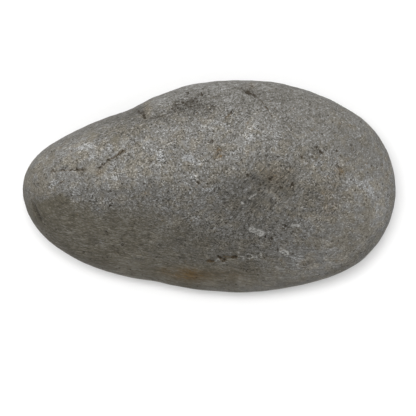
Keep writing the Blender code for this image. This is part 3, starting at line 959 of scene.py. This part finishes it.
def gain(tree, value, amount):
    """A factor that is 1 where the value is 0, and the amount more where it is 1."""
    return calc(tree, "MULTIPLY_ADD", value, amount, 1)


def eased(tree, factor, share):
    """The factor brought towards 1: a share of 1 leaves it, and 0 makes it 1."""
    return calc(tree, "MULTIPLY_ADD", calc(tree, "SUBTRACT", factor, 1), share, 1)


def strewn(tree, value, random, spread):
    """The value made uneven by a random one from 0 to 1."""
    return calc(tree, "MULTIPLY_ADD", calc(tree, "SUBTRACT", random, 0.5), spread, value)


def swing(tree, value, amount):
    """A factor round 1 from a value round 0.5."""
    return calc(tree, "MULTIPLY_ADD", value, amount, 1 - amount / 2)


def between(tree, value, low, high, to_low=0.0, to_high=1.0):
    """Maps the value from one range to another, softly at both ends."""
    return put(tree, "ShaderNodeMapRange", {
        "Value": value, "From Min": low, "From Max": high, "To Min": to_low, "To Max": to_high,
    }, interpolation_type="SMOOTHSTEP").outputs["Result"]


def broken(tree, layer, grain, spread, low, high):
    """A soft layer broken up grain by grain, so that its edge is crisp and ragged."""
    return between(tree, strewn(tree, layer, grain, spread), low, high)


def cloudy(tree, at, per_mm, detail=2.0):
    made = put(tree, "ShaderNodeTexNoise", {"Vector": at, "Scale": per_mm, "Detail": detail})
    return made.outputs["Fac"]


def grains(tree, at, per_mm):
    """For each grain two random values, and the distance from its middle."""
    cells = put(tree, "ShaderNodeTexVoronoi", {"Vector": at, "Scale": per_mm})
    random = put(tree, "ShaderNodeSeparateColor", {"Color": cells.outputs["Color"]})
    return random.outputs["Red"], random.outputs["Green"], cells.outputs["Distance"]


def ramp(tree, value, stops):
    """A colour ramp through grey stops."""
    made = put(tree, "ShaderNodeValToRGB", {"Fac": value})
    elements = made.color_ramp.elements
    while len(elements) < len(stops):
        elements.new(1)
    for element, (position, grey) in zip(elements, stops):
        element.position = position
        element.color = (grey, grey, grey, 1)
    return made.outputs["Color"]


def mixed(tree, share, first, second):
    node = put(tree, "ShaderNodeMix", {"Factor": share, 6: first, 7: second}, data_type="RGBA")
    return node.outputs[2]


def blended(tree, share, first, second):
    """The first random value turned into the second by the share. It spreads as widely as they
    do."""
    value = calc(tree, "MULTIPLY_ADD", calc(tree, "SUBTRACT", second, first), share, first)
    both = product(tree, share, calc(tree, "SUBTRACT", 1, share))
    return strewn(tree, 0.5, value, gain(tree, both, 1.6))


def painted(tree, name):
    return put(tree, "ShaderNodeAttribute", attribute_name=name).outputs["Fac"]


def tinted(tree, colour, factor):
    """The colour made lighter or darker by a factor."""
    scaled = put(tree, "ShaderNodeVectorMath", {0: colour, 3: factor}, operation="SCALE")
    return scaled.outputs["Vector"]


# Finishes

def drawn_out(tree, mm, rimwise, fine, streaky, scored):
    """The fine grains, drawn out into dashes where the stone is streaky and where it is scored."""
    dash = grains(tree, rimwise, DASHES)[0]
    scoring = put(tree, "ShaderNodeMapping", {
        "Vector": mm, "Rotation": (0, 0, SCORED_TURN), "Scale": SCORED_STRETCH,
    }, vector_type="TEXTURE").outputs["Vector"]
    score = grains(tree, scoring, SCORES)[0]
    drawn = blended(tree, product(tree, streaky, DASHED), fine, dash)
    return blended(tree, product(tree, scored, SCORED), drawn, score)


def mottled(tree, tone, mm, rimwise, streaky, calm):
    """The tone with streaks round the rim, blotches, broad mottles and the painted tones, which
    hold painted shade and painted light as well as the stone's own tone.
    """
    streaks = product(
        tree,
        swing(tree, cloudy(tree, rimwise, BROAD_STREAKS), 0.8),
        swing(tree, cloudy(tree, rimwise, FINE_STREAKS), 0.9),
    )
    blotch = between(tree, cloudy(tree, mm, BLOTCHES, 3), 0.58, 0.66, 0, -0.12)
    return product(
        tree,
        tone,
        eased(tree, streaks, streaky),
        gain(tree, blotch, calm),
        swing(tree, cloudy(tree, mm, MOTTLES), 0.6),
        swing(tree, cloudy(tree, mm, BROAD_MOTTLES), 0.5),
        # the painted tones: partly painted shade and painted light
        calc(tree, "ADD", painted(tree, "tone"), 1),
    )


def stone_colour(tree, mm, tone, other, patina_and_shade, chalk):
    """Light grains are the plainest grey, and dark ones are browner."""
    hue = between(tree, strewn(tree, tone, other, 0.35), 0.35, 1.65)
    colour = mixed(tree, hue, DARK_GRAIN, LIGHT_GRAIN)
    warm_clouds = between(tree, cloudy(tree, mm, WARM_CLOUDS), 0.38, 0.64, -0.35, 0.80)
    warm = calc(tree, "MINIMUM", calc(tree, "ADD", painted(tree, "warm"), warm_clouds), 1)
    warm = product(tree, warm, between(tree, tone, 0.8, 1.5, 1.15, 0.65))
    colour = mixed(tree, warm, colour, WARM_GRAIN)
    # the worn skin's colour is patina and painted shade
    patina_and_shade_share = product(tree, patina_and_shade, between(tree, tone, 0.8, 1.4, 1, 0.6))
    colour = mixed(tree, patina_and_shade_share, colour, PATINA_AND_SHADE)
    colour = mixed(tree, product(tree, chalk, 0.8), colour, CHALK)
    return tinted(tree, colour, tone)


def specks(tree, mm):
    """Single rusty and dark grains, well apart."""
    size, sort, from_middle = grains(tree, mm, SPECKS)
    speck = product(
        tree,
        between(tree, from_middle, 0.14, 0.24, 1, 0),
        between(tree, size, 0.45, 0.7),
    )
    rusty = product(tree, speck, between(tree, sort, 0.55, 0.6))
    dark = product(tree, speck, between(tree, sort, 0.55, 0.6, 1, 0))
    return rusty, dark


def thin_line(tree, mm, fine):
    """Cracks, seams and scratches: ragged lines as thin as a grain."""
    off = strewn(tree, painted(tree, "line_off"), cloudy(tree, mm, LINE_WAVERS), 0.5)
    off = calc(tree, "ABSOLUTE", strewn(tree, off, fine, 0.22))
    aside = calc(tree, "DIVIDE", off, calc(tree, "MAXIMUM", painted(tree, "line_half"), 0.01))
    gaps = between(tree, cloudy(tree, mm, LINE_GAPS), 0.36, 0.52, 0.7, 1)
    return product(tree, between(tree, aside, 0.7, 1.3, 1, 0), gaps)


def stains(tree, mm, rimwise, coarse, kind, fine):
    """How much dirt with painted shade, rust and bruise there is: cracks, pits and hollows are
    darkened as painted shade as well as dirt.
    """
    rusty_speck, dark_speck = specks(tree, mm)
    line = thin_line(tree, mm, fine)
    dark = calc(tree, "SUBTRACT", 1, fine)
    dirt_and_shade = broken(tree, painted(tree, "dirt_and_shade"), dark, 0.45, 0.30, 0.66)
    beads = product(tree, line, between(tree, coarse, 0.35, 0.65, 1.1, 0.45))
    dirt_and_shade = most(tree, dirt_and_shade, product(tree, beads, painted(tree, "line_dirt_and_shade")))
    dirt_and_shade = most(tree, product(tree, dirt_and_shade, 0.9), product(tree, dark_speck, 0.7))
    soft_rust = product(
        tree,
        painted(tree, "rust"),
        between(tree, kind, 0.1, 0.9, 0.5, 1.1),
        between(tree, cloudy(tree, rimwise, RUST_CLOUDS), 0.35, 0.6, 0.62, 1.25),
    )
    rust = most(
        tree,
        soft_rust,
        product(tree, rusty_speck, 0.4),
        product(tree, line, painted(tree, "line_rust")),
    )
    bruise = most(tree, product(tree, line, painted(tree, "line_bruise")), painted(tree, "bruise"))
    bruise = product(tree, bruise, between(tree, fine, 0.1, 0.8, 0.3, 1))
    return dirt_and_shade, rust, bruise


def sandstone():
    material = bpy.data.materials.new("grey_sandstone")
    material.use_nodes = True
    tree = material.node_tree
    finish = tree.nodes["Principled BSDF"]
    place = put(tree, "ShaderNodeTexCoord").outputs["Object"]
    mm = put(tree, "ShaderNodeMapping", {"Vector": place, "Scale": (1 / MM,) * 3}).outputs["Vector"]
    rimwise = put(tree, "ShaderNodeAttribute", attribute_name="rimwise").outputs["Vector"]
    coarse, kind = grains(tree, mm, COARSE_GRAINS)[:2]
    fine, other = grains(tree, mm, FINE_GRAINS)[:2]

    # The worn skin, patina and painted shade, has a grainy edge. It and the rim are streaky
    patina_and_shade = painted(tree, "patina_and_shade")
    patina_and_shade = strewn(tree, patina_and_shade, coarse, product(tree, patina_and_shade, SKIN_RAGGED))
    streaky = most(tree, product(tree, painted(tree, "rim"), RIM_STREAKY), patina_and_shade)
    scored = painted(tree, "scored")

    # Grain, which is calmer on the worn skin and where the stone is polished
    coarse_tone = eased(tree, ramp(tree, coarse, COARSE_TONES), gain(tree, scored, -SCORES_CALM))
    drawn = drawn_out(tree, mm, rimwise, fine, streaky, scored)
    clumps = swing(tree, cloudy(tree, mm, CLUMPS, 3), 0.58)
    tone = product(tree, coarse_tone, ramp(tree, drawn, FINE_TONES), clumps)
    polish = painted(tree, "polish")
    calm = product(tree, gain(tree, patina_and_shade, -SKIN_CALMS), gain(tree, polish, -POLISH_CALMS))
    tone = mottled(tree, eased(tree, tone, calm), mm, rimwise, streaky, calm)
    chalk = broken(tree, painted(tree, "chalk"), fine, 0.50, 0.10, 0.70)
    tone = product(tree, tone, gain(tree, chalk, 0.5))

    colour = stone_colour(tree, mm, tone, other, patina_and_shade, chalk)
    dirt_and_shade, rust, bruise = stains(tree, mm, rimwise, coarse, kind, fine)
    colour = mixed(tree, bruise, colour, BRUISE)
    colour = mixed(tree, calc(tree, "MINIMUM", rust, 0.95), colour, tinted(tree, RUST, tone))
    # dirt and painted shade darken cracks, pits and hollows
    colour = mixed(tree, dirt_and_shade, colour, DIRT_AND_SHADE)
    tree.links.new(colour, finish.inputs["Base Color"])

    roughness = calc(tree, "MULTIPLY_ADD", patina_and_shade, -0.16, STONE_ROUGHNESS)
    roughness = calc(tree, "MULTIPLY_ADD", fine, 0.10, roughness)
    tree.links.new(roughness, finish.inputs["Roughness"])
    finish.inputs["Specular IOR Level"].default_value = STONE_SPECULAR

    height = calc(tree, "MULTIPLY_ADD", coarse, 0.6, product(tree, fine, 0.4))
    height = calc(tree, "ADD", product(tree, height, calm), product(tree, dirt_and_shade, -2.0))
    bump = put(tree, "ShaderNodeBump", {
        "Height": height, "Distance": BUMP_DEPTH, "Strength": BUMP_STRENGTH,
    })
    tree.links.new(bump.outputs["Normal"], finish.inputs["Normal"])
    return material


def pale_floor():
    material = bpy.data.materials.new("pale_floor")
    material.use_nodes = True
    finish = material.node_tree.nodes["Principled BSDF"]
    finish.inputs["Base Color"].default_value = PALE_FLOOR
    finish.inputs["Roughness"].default_value = FLOOR_ROUGHNESS
    finish.inputs["Specular IOR Level"].default_value = FLOOR_SPECULAR
    return material


# The studio's parts

def softbox(name, falls_on):
    """A light that faces the stone, and falls on one piece alone."""
    azimuth, elevation, away, width, depth, power = LIGHTS[name]
    turn, rise = math.radians(azimuth), math.radians(elevation)
    out = Vector((math.cos(turn) * math.cos(rise), math.sin(turn) * math.cos(rise), math.sin(rise)))
    data = bpy.data.lights.new(name, "AREA")
    data.shape = "RECTANGLE"
    data.size = width
    data.size_y = depth
    data.energy = power
    light = bpy.data.objects.new(name, data)
    light.location = out * away
    light.rotation_mode = "QUATERNION"
    light.rotation_quaternion = out.to_track_quat("Z", "Y")
    bpy.context.scene.collection.objects.link(light)
    lit = bpy.data.collections.new(name + "_lights")
    lit.objects.link(falls_on)
    light.light_linking.receiver_collection = lit


def white_room():
    """A dim white light all round, which the camera sees as bright."""
    world = bpy.data.worlds.new("studio")
    world.use_nodes = True
    tree = world.node_tree
    background = tree.nodes["Background"]
    background.inputs["Color"].default_value = (1, 1, 1, 1)
    shown = put(tree, "ShaderNodeLightPath").outputs["Is Camera Ray"]
    strength = calc(tree, "MULTIPLY_ADD", shown, ROOM_SHOWN, ROOM_LIGHT)
    tree.links.new(strength, background.inputs["Strength"])
    return world


# The stone

skin = pebble_skin()
skin.data.materials.clear()
skin.data.materials.append(sandstone())
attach(skin, "root")
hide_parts("pebble")


# The studio

bpy.ops.object.select_all(action="DESELECT")
bpy.ops.mesh.primitive_plane_add(size=FLOOR_SIDE, location=(0, 0, 0))
floor = bpy.context.object
floor.name = "floor"
floor.data.materials.append(pale_floor())

softbox("key_softbox", skin)
softbox("floor_softbox", floor)
softbox("floor_ceiling", floor)
bpy.context.scene.world = white_room()

camera_data = bpy.data.cameras.new("camera_above")
camera_data.lens = LENS
camera_data.sensor_width = SENSOR
camera = bpy.data.objects.new("camera_above", camera_data)
camera.location = CAMERA_AT
bpy.context.scene.collection.objects.link(camera)
bpy.context.scene.camera = camera
bpy.context.scene.view_settings.view_transform = "Standard"
